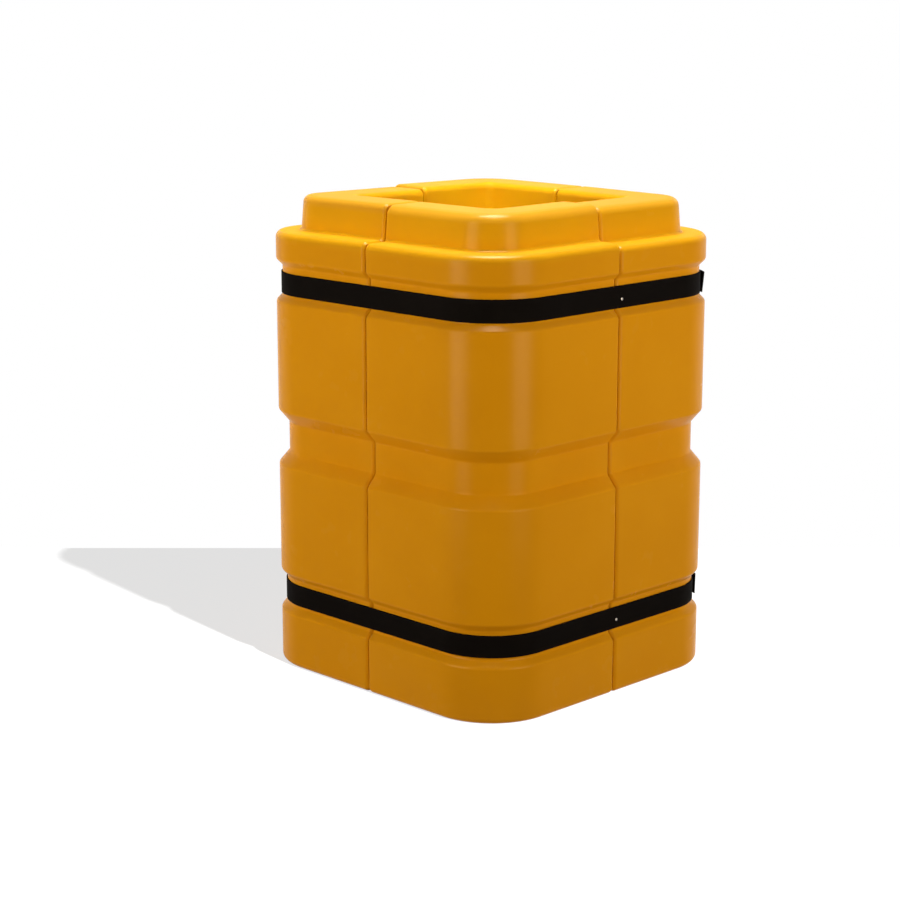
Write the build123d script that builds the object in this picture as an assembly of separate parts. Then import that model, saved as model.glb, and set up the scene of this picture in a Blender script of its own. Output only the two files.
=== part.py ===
from build123d import *
import os

# Column protector: four moulded corner quarters stand round a square column and slip
# together on tongues, and two hook-and-loop straps in the grooves hold them shut.
# Millimetres. The origin is the centre of the base, +Z is up, the sides face X and Y,
# and the corner between +X and -Y is the front.

# Plan
half_side = 300.0
corner_radius = 120.0
opening_half = 165.0
opening_corner_radius = 15.0
seam_gap = 2.0

# Heights, from the base up
base_band_height = 96.0
groove_floor_height = 51.0
main_band_height = 193.0
waist_wall_height = 22.0
waist_floor_height = 54.0
top_band_height = 51.0
collar_height = 60.0

# Depths and edges of the moulded face
groove_depth = 11.0
waist_depth = 18.5
collar_inset = 45.0
collar_draft = 5.0
base_chamfer = 7.0
shelf_edge_radius = 12.0
collar_edge_radius = 14.0
opening_rim_radius = 12.0
seam_chamfer = 4.5

# Slip joint between two quarters
tongue_thickness = 36.0
tongue_reach = 45.0
tongue_tip_chamfer = 8.0
tongue_setback = 77.0
tongue_bottom = 40.0
tongue_height = 690.0
tongue_clearance = 0.8

# Straps and their fastening
strap_width = 38.0
strap_thickness = 2.0
strap_gap = 0.3
upper_strap_drop = 4.5
lower_strap_drop = 1.5
short_end_margin = 12.0
ramp_start = 70.0
ramp_end = 8.0
tail_length = 228.0
tape_thickness = 1.2
tape_margin = 2.0
tape_end_margin = 8.0
loop_tape_length = 160.0

# Rivet that keeps each strap on its quarter
rivet_shank_diameter = 2.4
rivet_head_diameter = 5.0
rivet_head_height = 1.1
rivet_length = 9.0
rivet_hole_clearance = 0.1
rivet_setback = 13.0
rivet_drop = 4.0

# Values that follow from the sizes above
corner_centre = half_side - corner_radius
groove_half = half_side - groove_depth
groove_opening = groove_floor_height + 2 * groove_depth
waist_opening = waist_floor_height + 2 * waist_wall_height
lower_groove = base_band_height
waist_foot = lower_groove + groove_opening + main_band_height
upper_groove = waist_foot + waist_opening + main_band_height
shelf_height = upper_groove + groove_opening + top_band_height
total_height = shelf_height + collar_height
collar_half = half_side - collar_inset
half_gap = seam_gap / 2

strap_inner = groove_half + strap_gap
strap_outer = strap_inner + strap_thickness
loop_outer = strap_outer + tape_thickness
hook_inner = loop_outer + strap_gap
tail_inner = hook_inner + tape_thickness
tail_outer = tail_inner + strap_thickness
strap_middle = {
    "upper": upper_groove + groove_opening / 2 - upper_strap_drop,
    "lower": lower_groove + groove_opening / 2 - lower_strap_drop,
}

# Turns about the axis that carry the front right quarter to each of the four places
quarter_turns = {"front_right": 0, "rear_right": 90, "rear_left": 180, "front_left": 270}


def groove_corners(foot, depth, wall_height, floor_height):
    """Outline corners of a groove that runs round the body, each with no rounding."""
    floor = half_side - depth
    top = foot + 2 * wall_height + floor_height
    points = [(half_side, foot), (floor, foot + wall_height), (floor, top - wall_height), (half_side, top)]
    return [(point, 0) for point in points]


def wall_section():
    """Upright section of the body, from the corner's centre line out to the face."""
    corners = [
        ((half_side - base_chamfer, 0), 0),
        ((half_side, base_chamfer), 0),
        *groove_corners(lower_groove, groove_depth, groove_depth, groove_floor_height),
        *groove_corners(waist_foot, waist_depth, waist_wall_height, waist_floor_height),
        *groove_corners(upper_groove, groove_depth, groove_depth, groove_floor_height),
        ((half_side, shelf_height), shelf_edge_radius),
        ((collar_half, shelf_height), 0),
        ((collar_half - collar_draft, total_height), collar_edge_radius),
    ]
    foot = (corner_centre, 0)
    head = (corner_centre, total_height)
    points = [foot, *(point for point, radius in corners), head]
    outline = FilletPolyline(*points, radius=[radius for point, radius in corners])
    face = make_face([*outline.edges(), Line(head, foot).edge()])
    return Plane.XZ * face


def swept_corner():
    """Solid quarter before the opening: the section swept round the corner and along both faces."""
    straight = corner_centre - half_gap
    section = Pos(0, -corner_centre, 0) * wall_section()
    corner_axis = Axis((corner_centre, -corner_centre, 0), (0, 0, 1))
    turned = section.rotate(corner_axis, -90)
    side = extrude(section, amount=straight, dir=(0, 1, 0))
    front = extrude(turned, amount=straight, dir=(-1, 0, 0))
    corner = revolve(section, axis=corner_axis, revolution_arc=-90)
    core = Pos(half_gap, -half_gap, 0) * Box(
        straight, straight, total_height, align=(Align.MIN, Align.MAX, Align.MIN)
    )
    return corner + side + front + core


def column_opening():
    """Square shaft with rounded corners that the column stands in."""
    plan = RectangleRounded(2 * opening_half, 2 * opening_half, opening_corner_radius)
    return extrude(plan, amount=total_height)


def tongue(clearance):
    """Flat tongue that slips into the next quarter, grown by a clearance to cut its slot."""
    thickness = tongue_thickness + 2 * clearance
    length = 2 * (tongue_reach + clearance)
    height = tongue_height + 2 * clearance
    block = Box(thickness, length, height, align=(Align.CENTER, Align.CENTER, Align.MIN))
    tip = block.faces().sort_by(Axis.Y)[-1]
    block = chamfer(tip.edges(), tongue_tip_chamfer + clearance)
    half = block & Pos(0, length / 2, height / 2) * Box(thickness, length + seam_gap, height)
    return Pos(half_side - tongue_setback, 0, tongue_bottom - clearance) * half


def moulded_quarter():
    """Front right quarter, with its tongue on the +Y seam and its slot in the -X seam."""
    body = swept_corner() - column_opening()
    wall = opening_half + opening_corner_radius
    rim = [
        edge
        for edge in body.faces().sort_by(Axis.Z)[-1].edges()
        if seam_gap < edge.center().X < wall and seam_gap < -edge.center().Y < wall
    ]
    body = fillet(rim, opening_rim_radius)
    seams = [body.faces().sort_by(Axis.X)[0], body.faces().sort_by(Axis.Y)[-1]]
    body = chamfer([edge for seam in seams for edge in seam.edges()], seam_chamfer)
    slot = tongue(tongue_clearance).rotate(Axis.Z, -90)
    return body + tongue(0) - slot


def rivet(middle):
    """Pan-headed rivet, driven in along -X through the strap and into the rear right quarter."""
    head_radius = rivet_head_diameter / 2
    shank_radius = rivet_shank_diameter / 2
    points = [
        (rivet_head_height, 0),
        (-rivet_length, 0),
        (-rivet_length, shank_radius),
        (0, shank_radius),
        (0, head_radius),
        (rivet_head_height, head_radius - rivet_head_height),
    ]
    solid = revolve(make_face(Polyline(*points, close=True).edges()), axis=Axis.X)
    return Pos(strap_outer, rivet_setback, middle - rivet_drop) * solid


def rivet_hole(middle):
    """Clearance hole for a rivet, open at the strap's outer face."""
    radius = rivet_shank_diameter / 2 + rivet_hole_clearance
    depth = rivet_length + rivet_hole_clearance
    hole = Cylinder(radius, depth, align=(Align.CENTER, Align.CENTER, Align.MIN))
    return Pos(strap_outer, rivet_setback, middle - rivet_drop) * hole.rotate(Axis.Y, -90)


def webbing(plan, middle, width=strap_width):
    """Flat webbing: a plan outline raised to the strap's width about its middle height."""
    return Pos(0, 0, middle - width / 2) * extrude(plan, amount=width)


def strap_ring():
    """Plan of the strap as a closed ring in its groove."""
    outer = RectangleRounded(2 * strap_outer, 2 * strap_outer, strap_outer - corner_centre)
    inner = RectangleRounded(2 * strap_inner, 2 * strap_inner, strap_inner - corner_centre)
    return outer - inner


def quarter_window(place):
    """Plan window over one quarter, up to its seams."""
    side = half_side - half_gap
    window = Pos(half_gap, -half_gap) * Rectangle(side, side, align=(Align.MIN, Align.MAX))
    return window.rotate(Axis.Z, quarter_turns[place])


def rear_strip(margin):
    """Plan strip that holds a strap's end back from the rear seam."""
    return Pos(0, half_side) * Rectangle(2 * margin, 2 * corner_radius)


def tail_plan():
    """Plan of the long end past the rear seam: it climbs over the short end and runs on straight."""
    points = [
        (-ramp_start, strap_inner),
        (-ramp_end, tail_inner),
        (tail_length, tail_inner),
        (tail_length, tail_outer),
        (-ramp_end, tail_outer),
        (-ramp_start, strap_outer),
    ]
    return make_face(Polyline(*points, close=True).edges())


def tape_plan(start, length, inner):
    """Plan of a fastening tape on the rear face, along +X from its start."""
    strip = Rectangle(length, tape_thickness, align=(Align.MIN, Align.MIN))
    return Pos(start, inner) * strip


def strap_pieces(level, middle):
    """One strap as its spans on the four quarters, with its tapes and rivet, by node name."""
    ring = strap_ring()
    front_left = ring & quarter_window("front_left")
    front_right = ring & quarter_window("front_right")
    short_end = ring & quarter_window("rear_right") - rear_strip(short_end_margin)
    long_end = ring & quarter_window("rear_left") - rear_strip(ramp_start)
    tape_start = short_end_margin + tape_end_margin
    hook_length = tail_length - tape_end_margin - tape_start
    tape_width = strap_width - 2 * tape_margin
    return {
        f"{level}_strap_front_left": webbing(front_left, middle),
        f"{level}_strap_front_right": webbing(front_right, middle),
        f"{level}_strap_short_end": webbing(short_end, middle) - rivet_hole(middle),
        f"{level}_strap_long_end": webbing(long_end + tail_plan(), middle),
        f"{level}_loop_tape": webbing(
            tape_plan(tape_start, loop_tape_length, strap_outer), middle, tape_width
        ),
        f"{level}_hook_tape": webbing(
            tape_plan(tape_start, hook_length, hook_inner), middle, tape_width
        ),
        f"{level}_rivet": rivet(middle),
    }


def build_parts():
    """All nodes by name."""
    quarter = moulded_quarter()
    parts = {f"{place}_quarter": quarter.rotate(Axis.Z, turn) for place, turn in quarter_turns.items()}
    for level, middle in strap_middle.items():
        parts["rear_right_quarter"] -= rivet_hole(middle)
        parts.update(strap_pieces(level, middle))
    return parts


os.makedirs("parts", exist_ok=True)
for node, shape in build_parts().items():
    export_step(shape, f"parts/{node}.step")
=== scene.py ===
"""Looks of a column protector: four moulded quarters, two webbing straps and their fastenings.

Metres. The origin is the centre of the base, +Z is up, and the corner between +X and -Y is the front.
"""

import logging
import math
from abc import ABC, abstractmethod
from dataclasses import dataclass, field
from enum import Enum

import bmesh
import bpy
from bmesh.types import BMEdge, BMesh, BMFace, BMVert
from bpy.types import Light, Material, Node, NodeSocket, NodeTree, Object
from mathutils import Matrix, Vector


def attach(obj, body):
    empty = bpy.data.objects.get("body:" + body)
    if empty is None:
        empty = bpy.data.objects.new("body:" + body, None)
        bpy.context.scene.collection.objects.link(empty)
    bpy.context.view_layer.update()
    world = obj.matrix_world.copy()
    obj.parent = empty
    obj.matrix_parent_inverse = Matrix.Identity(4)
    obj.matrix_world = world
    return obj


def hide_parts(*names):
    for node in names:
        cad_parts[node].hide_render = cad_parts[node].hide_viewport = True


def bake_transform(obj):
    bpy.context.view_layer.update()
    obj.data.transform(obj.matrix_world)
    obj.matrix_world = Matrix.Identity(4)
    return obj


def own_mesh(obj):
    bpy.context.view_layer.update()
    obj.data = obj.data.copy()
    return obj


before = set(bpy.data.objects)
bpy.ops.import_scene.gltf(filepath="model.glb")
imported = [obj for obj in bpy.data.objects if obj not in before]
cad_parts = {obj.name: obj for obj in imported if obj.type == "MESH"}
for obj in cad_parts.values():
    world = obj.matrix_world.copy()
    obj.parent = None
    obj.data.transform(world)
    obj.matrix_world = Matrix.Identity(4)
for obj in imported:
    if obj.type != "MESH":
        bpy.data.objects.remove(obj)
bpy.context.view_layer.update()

MM = 0.001
LOG = logging.getLogger("column_protector")

Colour = tuple[float, float, float]
Point = tuple[float, float, float]
Span = tuple[float, float]


class Slot(Enum):
    """Material slots of the record."""

    PLASTIC = "moulded_plastic"
    WEBBING = "webbing"
    TAPE = "fastening_tape"
    RIVET = "rivet_metal"


class Place(Enum):
    """Where a quarter stands, with its turn about Z from the front right place, in degrees."""

    FRONT_RIGHT = 0
    REAR_RIGHT = 90
    REAR_LEFT = 180
    FRONT_LEFT = 270

    @property
    def body(self) -> str:
        """Name of the body that carries the quarter."""
        return self.name.lower()


class Level(Enum):
    """The two straps."""

    UPPER = "upper"
    LOWER = "lower"


class Seam(Enum):
    """The two seams of the front right quarter, with the axis that each faces along."""

    SLOT = 0
    TONGUE = 1


class Pile(Enum):
    """The two faces of the fastening, with the size of their pile in metres."""

    HOOK = 1.4 * MM
    LOOP = 0.5 * MM


class Effect(Enum):
    """Effects that finishes share, with the names of their node groups."""

    DUST = "settled_dust"
    SCUFF = "stray_scuffs"
    WEAVE = "narrow_weave"


# Shader node helpers


@dataclass
class NodeSheet:
    """Adds and links the nodes of one shader tree."""

    tree: NodeTree

    def add(self, kind: str, inputs: dict | None = None, **properties: object) -> Node:
        """Adds one node.

        Args:
            kind: Node type, without its ShaderNode prefix.
            inputs: Socket name or number to a value or to the socket that feeds it.
            properties: Settings of the node itself.

        Returns:
            The new node.
        """
        node = self.tree.nodes.new(f"ShaderNode{kind}")
        for name, value in properties.items():
            setattr(node, name, value)
        self.feed(node, inputs or {})
        return node

    def feed(self, node: Node, inputs: dict) -> None:
        """Sets or links the inputs of a node.

        Args:
            node: The node.
            inputs: Socket name or number to a value or to the socket that feeds it.
        """
        for name, value in inputs.items():
            if isinstance(value, NodeSocket):
                self.tree.links.new(value, node.inputs[name])
            else:
                node.inputs[name].default_value = value

    def math(self, operation: str, *values: object) -> NodeSocket:
        """Adds a Math node and gives its result."""
        return self.add("Math", dict(enumerate(values)), operation=operation).outputs[0]

    def times(self, first: object, second: object) -> NodeSocket:
        """Multiplies two values."""
        return self.math("MULTIPLY", first, second)

    def mix(self, share: object, first: object, second: object) -> NodeSocket:
        """Mixes two colours, each a socket or three numbers, and gives the result."""
        ends = [end if isinstance(end, NodeSocket) else (*end, 1.0) for end in (first, second)]
        return self.add("Mix", {0: share, 6: ends[0], 7: ends[1]}, data_type="RGBA").outputs[2]

    def spread(self, value: object, low: float, high: float) -> NodeSocket:
        """Spreads a value of 0 to 1 over low to high."""
        return self.math("MULTIPLY_ADD", value, high - low, low)

    def window(self, value: object, low: float, high: float) -> NodeSocket:
        """Turns low to high of a value into a smooth 0 to 1."""
        inputs = {"Value": value, "From Min": low, "From Max": high}
        return self.add("MapRange", inputs, interpolation_type="SMOOTHSTEP").outputs[0]

    def ridges(self, value: object) -> NodeSocket:
        """Makes a round ridge of each whole step of a value, from 0 at its sides to 1 in its middle."""
        return self.math("ABSOLUTE", self.math("SINE", self.times(value, math.pi)))

    def noise(self, vector: object, scale: object, detail: float = 2.0) -> NodeSocket:
        """Adds a Noise texture and gives its value."""
        return self.add("TexNoise", {"Vector": vector, "Scale": scale, "Detail": detail}).outputs[0]

    def bump(self, height: object, distance: float, **inputs: object) -> NodeSocket:
        """Adds a Bump node and gives the normal."""
        inputs |= {"Height": height, "Distance": distance, "Strength": 1.0}
        return self.add("Bump", inputs).outputs[0]

    def place(self) -> NodeSocket:
        """Gives the place on the object."""
        return self.add("TexCoord").outputs["Object"]

    def run(self) -> NodeSocket:
        """Gives the place on a strap or tape laid flat."""
        return self.add("UVMap", uv_map="run").outputs[0]

    def effect(self, effect: Effect, **inputs: object) -> Node:
        """Adds the group of a shared effect."""
        return self.add("Group", inputs, node_tree=bpy.data.node_groups[effect.value])

    def seen(self) -> NodeSocket:
        """Tells the rays that show a surface, straight, in a reflection or through a gap.

        Returns:
            1 on those rays, 0 on others.
        """
        path = self.add("LightPath").outputs
        seen = self.math("MAXIMUM", path["Is Camera Ray"], path["Is Glossy Ray"])
        return self.math("MAXIMUM", seen, path["Is Transmission Ray"])


def shader_group(effect: Effect, inputs: dict, outputs: list[str]) -> tuple[NodeSheet, object, Node]:
    """Starts the node group of an effect, with named sockets.

    Args:
        effect: The effect.
        inputs: Input names with their default numbers, or None for a vector.
        outputs: Names of the value outputs.

    Returns:
        A sheet to write its nodes with, what is given to it by name, and the node that takes its results.
    """
    tree = bpy.data.node_groups.new(effect.value, "ShaderNodeTree")
    for label, default in inputs.items():
        kind = "NodeSocketVector" if default is None else "NodeSocketFloat"
        socket = tree.interface.new_socket(label, in_out="INPUT", socket_type=kind)
        if default is not None:
            socket.default_value = default
    for label in outputs:
        tree.interface.new_socket(label, in_out="OUTPUT", socket_type="NodeSocketFloat")
    given = tree.nodes.new("NodeGroupInput").outputs
    return NodeSheet(tree), given, tree.nodes.new("NodeGroupOutput")


def write_dust() -> None:
    """Writes the mask of patchy dust that settles on faces and thickens towards the floor."""
    thinnest = 0.12
    patch_edges = (0.38, 0.72)
    inputs = {"Vector": None, "Scale": 9.0, "Reach": 0.12}
    sheet, given, result = shader_group(Effect.DUST, inputs, ["Dust"])
    height = sheet.add("SeparateXYZ", {0: given["Vector"]}).outputs[2]
    near_floor = sheet.math("SUBTRACT", 1.0, sheet.math("DIVIDE", height, given["Reach"]))
    layer = sheet.math("MAXIMUM", near_floor, thinnest)
    patches = sheet.noise(given["Vector"], given["Scale"], detail=5.0)
    sheet.feed(result, {"Dust": sheet.times(layer, sheet.window(patches, *patch_edges))})


def write_scuff() -> None:
    """Writes the mask of fine stray scratches in two directions, broken up into patches."""
    stretch_by_turn = {0.35: 26.0, -0.8: 34.0}
    line_edges = (0.66, 0.74)
    patch_scale = 5.0
    patch_edges = (0.5, 0.68)
    sheet, given, result = shader_group(Effect.SCUFF, {"Vector": None, "Scale": 14.0}, ["Scuff"])
    lines = []
    for turn, stretch in stretch_by_turn.items():
        inputs = {"Vector": given["Vector"], "Rotation": (turn, turn, 0.0), "Scale": (1.0, 1.0, stretch)}
        streaks = sheet.noise(sheet.add("Mapping", inputs).outputs[0], given["Scale"], detail=3.0)
        lines.append(sheet.window(streaks, *line_edges))
    patches = sheet.window(sheet.noise(given["Vector"], patch_scale), *patch_edges)
    sheet.feed(result, {"Scuff": sheet.times(sheet.math("MAXIMUM", *lines), patches)})


def write_weave() -> None:
    """Writes an over-and-under weave on a map in metres: its yarns' height and the gaps between them."""
    lowest_yarn = 0.35
    gap_edges = (0.1, 0.5)
    inputs = {"Vector": None, "Warp": 1.3 * MM, "Weft": 1.9 * MM}
    sheet, given, result = shader_group(Effect.WEAVE, inputs, ["Height", "Gap"])
    along, across, _ = sheet.add("SeparateXYZ", {0: given["Vector"]}).outputs
    warp = sheet.math("DIVIDE", across, given["Warp"])
    weft = sheet.math("DIVIDE", along, given["Weft"])
    half_steps = sheet.times(sheet.math("FLOOR", warp), 0.5)
    beat = sheet.ridges(sheet.math("ADD", weft, half_steps))
    height = sheet.times(sheet.math("SQRT", sheet.ridges(warp)), sheet.spread(beat, lowest_yarn, 1.0))
    gap = sheet.math("SUBTRACT", 1.0, sheet.window(height, *gap_edges))
    sheet.feed(result, {"Height": height, "Gap": gap})


# Finishes


class Finish(ABC):
    """A finish, which writes its own material."""

    name: str

    def material(self) -> Material:
        """Builds the material.

        Returns:
            The finished material.
        """
        material = bpy.data.materials.new(self.name)
        material.use_nodes = True
        sheet = NodeSheet(material.node_tree)
        sheet.feed(material.node_tree.nodes["Principled BSDF"], self.sockets(sheet))
        return material

    @abstractmethod
    def sockets(self, sheet: NodeSheet) -> dict[str, object]:
        """Writes the nodes of the finish.

        Args:
            sheet: Sheet of the material.

        Returns:
            Socket names of the material's shader with the value or the socket that each takes.
        """


@dataclass(frozen=True)
class MouldedPlastic(Finish):
    """Satin polyethylene skin with a fine pebbled grain and slightly uneven walls."""

    name: str = "moulded_plastic"
    colour: Colour = (0.8, 0.388, 0.0034)
    pale: Colour = (0.84, 0.43, 0.012)
    deep: Colour = (0.775, 0.367, 0.002)
    mottle_scale: float = 7.0
    mottle_edges: Span = (0.3, 0.7)
    speckle_scale: float = 420.0
    speckle_share: float = 0.25
    # Painted light: a paler, yellower colour painted on the shelf and collar from the first height up,
    # standing in for the brighter light on the top.
    painted_top_light: Colour = (0.8, 0.455, 0.006)
    painted_top_heights: Span = (755 * MM, 775 * MM)
    # Painted sheen: a paler, bluer colour painted on the collar's rim from the first height up, standing in
    # for the white sheen there.
    painted_rim_sheen: Colour = (0.77, 0.43, 0.035)
    rim_sheen_heights: Span = (815 * MM, 830 * MM)
    # Painted light: a brighter colour painted on the opening's wall, fading in from 175 mm out to full at 165
    # mm, standing in for light in the opening.
    painted_opening_light: Colour = (0.984, 0.56, 0.005)
    opening_light_reach: Span = (175 * MM, 165 * MM)
    worn_shares: Span = (0.15, 0.5)
    dust_colour: Colour = (0.42, 0.27, 0.12)
    dust_share: float = 0.06
    scuff_share: float = 0.035
    roughness: Span = (0.22, 0.3)
    rough_scale: float = 28.0
    dulled_dust: float = 0.012
    dulled_top: float = 0.25
    top_facing: Span = (0.86, 0.99)
    dulled_opening: float = 0.4
    opening_half: float = 166 * MM
    grain_size: float = 1.1 * MM
    grain_blur: float = 0.6
    grain_height: float = 0.035 * MM
    wave_size: float = 160 * MM
    wave_height: float = 0.5 * MM
    gloss: float = 0.03

    def sockets(self, sheet: NodeSheet) -> dict[str, object]:
        """Writes the plastic: mottled colour, a paler top and rim and a brighter opening painted on as light
        and sheen, then wear, dust, scuffs and grain.

        Args:
            sheet: Sheet of the material.

        Returns:
            What the shader's sockets take.
        """
        place = sheet.place()
        across, along, height = sheet.add("SeparateXYZ", {0: place}).outputs
        reach = sheet.math("MAXIMUM", sheet.math("ABSOLUTE", across), sheet.math("ABSOLUTE", along))
        edge = sheet.add("Attribute", attribute_name="edge").outputs["Fac"]
        mottle = sheet.noise(place, self.mottle_scale, detail=4.0)
        dust = sheet.effect(Effect.DUST, Vector=place).outputs["Dust"]
        scuff = sheet.effect(Effect.SCUFF, Vector=place).outputs["Scuff"]

        body = sheet.mix(sheet.window(mottle, *self.mottle_edges), self.deep, self.colour)
        coats = [
            (sheet.times(sheet.noise(place, self.speckle_scale), self.speckle_share), self.pale),
            # painted light on the shelf and collar
            (sheet.window(height, *self.painted_top_heights), self.painted_top_light),
            # painted sheen on the rim
            (sheet.window(height, *self.rim_sheen_heights), self.painted_rim_sheen),
            # painted light in the opening
            (sheet.window(reach, *self.opening_light_reach), self.painted_opening_light),
            (sheet.times(edge, sheet.spread(mottle, *self.worn_shares)), self.pale),
            (sheet.times(dust, self.dust_share), self.dust_colour),
            (sheet.times(scuff, self.scuff_share), self.pale),
        ]
        for share, colour in coats:
            body = sheet.mix(share, body, colour)

        facing_up = sheet.add("SeparateXYZ", {0: sheet.add("TexCoord").outputs["Normal"]}).outputs[2]
        rough = sheet.spread(sheet.noise(place, self.rough_scale, detail=3.0), *self.roughness)
        dulled = [
            (dust, self.dulled_dust),
            (sheet.window(facing_up, *self.top_facing), self.dulled_top),
            (sheet.math("LESS_THAN", reach, self.opening_half), self.dulled_opening),
        ]
        for mask, added in dulled:
            rough = sheet.math("MULTIPLY_ADD", mask, added, rough)

        inputs = {"Vector": place, "Scale": 1 / self.grain_size, "Smoothness": self.grain_blur}
        pebble = sheet.add("TexVoronoi", inputs, feature="SMOOTH_F1").outputs["Distance"]
        wave = sheet.noise(place, 1 / self.wave_size, detail=1.0)
        normal = sheet.bump(wave, self.wave_height, Normal=sheet.bump(pebble, self.grain_height))
        return {"Base Color": body, "Roughness": rough, "Normal": normal, "Specular IOR Level": self.gloss}


@dataclass(frozen=True)
class Webbing(Finish):
    """Black woven strap, dull, with a little sheen from its fibres."""

    name: str = "webbing"
    colour: Colour = (0.0032, 0.0028, 0.0029)
    fibre: Colour = (0.0075, 0.0065, 0.0068)
    fibre_shares: Span = (0.2, 0.9)
    # Painted shade: the gaps between yarns are darkened with this colour.
    gap_shade_colour: Colour = (0.0011, 0.001, 0.0011)
    dust_colour: Colour = (0.12, 0.11, 0.1)
    dust_scale: float = 22.0
    dust_share: float = 0.08
    fuzz_scale: float = 2600.0
    fuzz_height: float = 0.25
    shade_scale: float = 16.0
    roughness: Span = (0.62, 0.85)
    yarn_height: float = 0.16 * MM
    gloss: float = 0.012
    sheen: float = 0.003
    sheen_roughness: float = 0.4

    def sockets(self, sheet: NodeSheet) -> dict[str, object]:
        """Writes the webbing: yarns with painted shade in the gaps between them, fuzz and a trace of dust.

        Args:
            sheet: Sheet of the material.

        Returns:
            What the shader's sockets take.
        """
        flat = sheet.run()
        weave = sheet.effect(Effect.WEAVE, Vector=flat).outputs
        dust = sheet.effect(Effect.DUST, Vector=sheet.place(), Scale=self.dust_scale).outputs["Dust"]
        fuzz = sheet.noise(flat, self.fuzz_scale, detail=3.0)
        shade = sheet.noise(flat, self.shade_scale, detail=3.0)
        fibres = sheet.times(fuzz, sheet.spread(shade, *self.fibre_shares))
        body = sheet.mix(fibres, self.colour, self.fibre)
        # painted shade in the gaps of the weave
        body = sheet.mix(weave["Gap"], body, self.gap_shade_colour)
        body = sheet.mix(sheet.times(dust, self.dust_share), body, self.dust_colour)
        height = sheet.math("MULTIPLY_ADD", fuzz, self.fuzz_height, weave["Height"])
        return {
            "Base Color": body,
            "Roughness": sheet.spread(shade, *self.roughness),
            "Normal": sheet.bump(height, self.yarn_height),
            "Specular IOR Level": self.gloss,
            "Sheen Weight": self.sheen,
            "Sheen Roughness": self.sheen_roughness,
        }


@dataclass(frozen=True)
class FasteningTape(Finish):
    """Black fastening tape with a pile of hooks or loops."""

    pile: Pile
    colour: Colour = (0.011, 0.011, 0.012)
    tip_colour: Colour = (0.03, 0.03, 0.032)
    tip_edges: Span = (0.1, 0.55)
    unevenness: float = 0.45
    fuzz_scale: float = 1900.0
    warp: float = 0.8 * MM
    weft: float = 1.0 * MM
    backing_height: float = 0.3
    pile_height: float = 0.35 * MM
    roughness: Span = (0.55, 0.9)
    sheen: float = 0.2

    @property
    def name(self) -> str:
        """Name of the tape's material."""
        return f"{self.pile.name.lower()}_tape"

    def sockets(self, sheet: NodeSheet) -> dict[str, object]:
        """Writes the tape: tufts of pile with paler tips on a woven backing.

        Args:
            sheet: Sheet of the material.

        Returns:
            What the shader's sockets take.
        """
        flat = sheet.run()
        weave = sheet.effect(Effect.WEAVE, Vector=flat, Warp=self.warp, Weft=self.weft).outputs["Height"]
        inputs = {"Vector": flat, "Scale": 1 / self.pile.value, "Randomness": self.unevenness}
        tufts = sheet.add("TexVoronoi", inputs, voronoi_dimensions="2D").outputs["Distance"]
        tip = sheet.math("SUBTRACT", 1.0, sheet.window(tufts, *self.tip_edges))
        fuzz = sheet.noise(flat, self.fuzz_scale, detail=3.0)
        height = sheet.math("MULTIPLY_ADD", weave, self.backing_height, tip)
        return {
            "Base Color": sheet.mix(sheet.times(tip, fuzz), self.colour, self.tip_colour),
            "Roughness": sheet.spread(fuzz, *self.roughness),
            "Normal": sheet.bump(height, self.pile_height),
            "Sheen Weight": self.sheen,
        }


@dataclass(frozen=True)
class SewingThread(Finish):
    """Twisted black thread, a shade lighter than the webbing."""

    name: str = "sewing_thread"
    colour: Colour = (0.013, 0.013, 0.014)
    light: Colour = (0.04, 0.04, 0.042)
    slant: Point = (0.0, 0.7, 0.4)
    twist_scale: float = 700.0
    twist_wander: float = 2.0
    twist_height: float = 0.06 * MM
    roughness: Span = (0.45, 0.7)

    def sockets(self, sheet: NodeSheet) -> dict[str, object]:
        """Writes the thread, with its twist as fine slanting bands.

        Args:
            sheet: Sheet of the material.

        Returns:
            What the shader's sockets take.
        """
        turned = sheet.add("Mapping", {"Vector": sheet.place(), "Rotation": self.slant}).outputs[0]
        inputs = {"Vector": turned, "Scale": self.twist_scale, "Distortion": self.twist_wander}
        twist = sheet.add("TexWave", inputs).outputs["Fac"]
        return {
            "Base Color": sheet.mix(twist, self.colour, self.light),
            "Roughness": sheet.spread(twist, *self.roughness),
            "Normal": sheet.bump(twist, self.twist_height),
        }


@dataclass(frozen=True)
class RivetMetal(Finish):
    """Dull drawn aluminium with fine scuffs."""

    name: str = "rivet_metal"
    colour: Colour = (0.24, 0.236, 0.232)
    dull: Colour = (0.16, 0.156, 0.152)
    tarnish_scale: float = 900.0
    tarnish_edges: Span = (0.4, 0.75)
    tarnish_height: float = 0.02 * MM
    scuff_scale: float = 90.0
    scuff_roughness: float = 0.2
    roughness: Span = (0.28, 0.45)

    def sockets(self, sheet: NodeSheet) -> dict[str, object]:
        """Writes the metal, tarnished in spots and scuffed.

        Args:
            sheet: Sheet of the material.

        Returns:
            What the shader's sockets take.
        """
        place = sheet.place()
        scuff = sheet.effect(Effect.SCUFF, Vector=place, Scale=self.scuff_scale).outputs["Scuff"]
        tarnish = sheet.noise(place, self.tarnish_scale, detail=4.0)
        rough = sheet.spread(tarnish, *self.roughness)
        return {
            "Base Color": sheet.mix(sheet.window(tarnish, *self.tarnish_edges), self.colour, self.dull),
            "Roughness": sheet.math("MULTIPLY_ADD", scuff, self.scuff_roughness, rough),
            "Normal": sheet.bump(tarnish, self.tarnish_height),
            "Metallic": 1.0,
        }


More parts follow.
